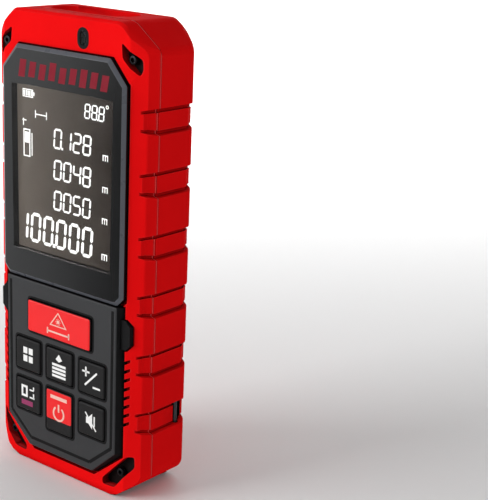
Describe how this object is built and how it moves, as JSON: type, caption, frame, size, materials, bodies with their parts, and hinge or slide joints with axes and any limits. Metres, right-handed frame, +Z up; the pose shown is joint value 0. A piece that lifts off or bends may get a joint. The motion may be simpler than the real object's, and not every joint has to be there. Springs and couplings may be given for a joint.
{
  "type": "laser distance meter",
  "caption": "Pocket laser distance meter with a red ribbed housing, sunken display, sprung keys, hinged charging flap, sliding battery cover and a tripod insert in the back.",
  "frame": {"origin": "bottom centre of the standing instrument", "axes": "+Z up along the length towards the laser end, -Y out of the display side, +X to the right seen from the front"},
  "size_m": [0.05, 0.0224, 0.112],
  "materials": {
    "housing_red": "satin moulded ABS, strong red",
    "cover_red": "satin moulded ABS, slightly paler red",
    "lens_smoke": "glossy smoked acrylic",
    "plate_grey": "fine-grained dark grey ABS",
    "key_black": "satin silicone rubber",
    "key_red": "red painted top on silicone rubber",
    "glass_lcd": "liquid crystal glass",
    "white_plastic": "white moulded plastic",
    "silicone_grey": "silicone sheet",
    "board_green": "solder-masked glass-epoxy board",
    "steel": "bright steel",
    "nickel": "nickel-plated brass",
    "black_plastic": "black moulded plastic",
    "battery_wrap": "shrink-wrapped lithium pouch",
    "label_grey": "printed label film on a plate",
    "optic_glass": "coated optical glass",
    "brass": "machined brass",
    "seal_black": "soft black rubber",
    "pad_grey": "mid-grey rubber",
    "screw_dark": "black-oxide steel",
    "window_grey": "tinted clear plastic"
  },
  "bodies": {
    "housing": {"front_shell": "housing_red", "rear_shell": "housing_red", "display_lens": "lens_smoke", "keypad_plate": "plate_grey", "status_window": "window_grey", "lcd_module": "glass_lcd", "lcd_backlight": "white_plastic", "key_mat": "silicone_grey", "main_board": "board_green", "signal_shield": "steel", "processor_chip": "black_plastic", "buzzer": "black_plastic", "battery_connector": "white_plastic", "battery_pack": "battery_wrap", "lower_back_plate": "cover_red", "label_plate": "label_grey", "tripod_insert": "nickel", "optics_frame": "black_plastic", "receiver_lens": "optic_glass", "laser_module": "brass", "laser_window": "optic_glass", "detector_board": "board_green", "usb_board": "board_green", "usb_socket": "steel", "foot_pad_right": "pad_grey", "foot_pad_left": "pad_grey", "lanyard_pin": "steel", "housing_screw_1": "screw_dark", "housing_screw_2": "screw_dark", "housing_screw_3": "screw_dark", "housing_screw_4": "screw_dark"},
    "battery_cover": {"battery_cover": "cover_red"},
    "usb_flap": {"usb_flap": "housing_red", "usb_flap_seal": "seal_black"},
    "key_measure": {"key_measure": "key_red"},
    "key_function": {"key_function": "key_black"},
    "key_area": {"key_area": "key_black"},
    "key_plus_minus": {"key_plus_minus": "key_black"},
    "key_reference": {"key_reference": "key_black"},
    "key_power": {"key_power": "key_black"},
    "key_mute": {"key_mute": "key_black"}
  },
  "joints": [
    {"name": "key_measure_press", "type": "slide", "parent": "housing", "child": "key_measure", "axis": [0, 1, 0], "range_m": [0, 0.0005], "stiffness_N_per_m": 2000},
    {"name": "key_function_press", "type": "slide", "parent": "housing", "child": "key_function", "axis": [0, 1, 0], "range_m": [0, 0.0005], "stiffness_N_per_m": 2000},
    {"name": "key_area_press", "type": "slide", "parent": "housing", "child": "key_area", "axis": [0, 1, 0], "range_m": [0, 0.0005], "stiffness_N_per_m": 2000},
    {"name": "key_plus_minus_press", "type": "slide", "parent": "housing", "child": "key_plus_minus", "axis": [0, 1, 0], "range_m": [0, 0.0005], "stiffness_N_per_m": 2000},
    {"name": "key_reference_press", "type": "slide", "parent": "housing", "child": "key_reference", "axis": [0, 1, 0], "range_m": [0, 0.0005], "stiffness_N_per_m": 2000},
    {"name": "key_power_press", "type": "slide", "parent": "housing", "child": "key_power", "axis": [0, 1, 0], "range_m": [0, 0.0005], "stiffness_N_per_m": 2000},
    {"name": "key_mute_press", "type": "slide", "parent": "housing", "child": "key_mute", "axis": [0, 1, 0], "range_m": [0, 0.0005], "stiffness_N_per_m": 2000},
    {"name": "usb_flap_hinge", "type": "hinge", "parent": "housing", "child": "usb_flap", "pos_m": [-0.009, 0.0004, 0.0007], "axis": [0, 1, 0], "range_deg": [0, 115]},
    {"name": "battery_cover_slide", "type": "slide", "parent": "housing", "child": "battery_cover", "axis": [0, 0, -1], "range_m": [0, 0.006]}
  ]
}
